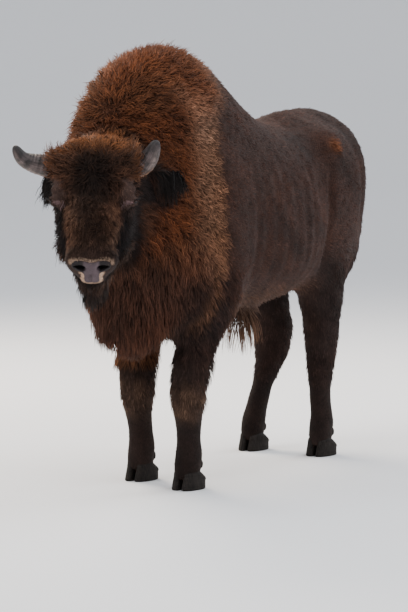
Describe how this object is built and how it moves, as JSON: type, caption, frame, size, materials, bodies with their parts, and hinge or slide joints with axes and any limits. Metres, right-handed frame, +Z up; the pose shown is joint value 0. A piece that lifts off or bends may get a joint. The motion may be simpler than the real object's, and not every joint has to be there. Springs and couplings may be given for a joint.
{
  "type": "european bison",
  "caption": "Life-size standing European bison bull with a high maned shoulder, head turned to its left, short curved horns, beard and cloven hooves.",
  "frame": {"origin": "centre of the bounding box's bottom, on the floor between the hooves", "axes": "+Z up, -Y the way the body faces, +X the animal's left"},
  "size_m": [0.6762, 2.4752, 1.8052],
  "materials": {
    "coat_mane": "long woolly orange-brown hair",
    "coat_flank": "short dense dark grey-brown hair",
    "coat_dark": "near-black brown hair",
    "horn": "grey horn with fine long grooves, darker tip",
    "hoof": "dull dark horn",
    "nose": "moist pebbled grey-mauve skin",
    "eye": "wet dark brown"
  },
  "bodies": {
    "root": {"head": "coat_dark", "beard": "coat_dark", "nose_pad": "nose", "neck": "coat_mane", "trunk": "coat_flank", "sheath_tuft": "coat_mane", "tail": "coat_flank", "tail_tuft": "coat_dark", "horn_left": "horn", "ear_left": "coat_dark", "eye_left": "eye", "leg_front_left": "coat_dark", "leg_hind_left": "coat_dark", "claw_front_left_inner": "hoof", "claw_front_left_outer": "hoof", "claw_hind_left_inner": "hoof", "claw_hind_left_outer": "hoof", "horn_right": "horn", "ear_right": "coat_dark", "eye_right": "eye", "leg_front_right": "coat_dark", "leg_hind_right": "coat_dark", "claw_front_right_inner": "hoof", "claw_front_right_outer": "hoof", "claw_hind_right_inner": "hoof", "claw_hind_right_outer": "hoof"}
  },
  "joints": []
}
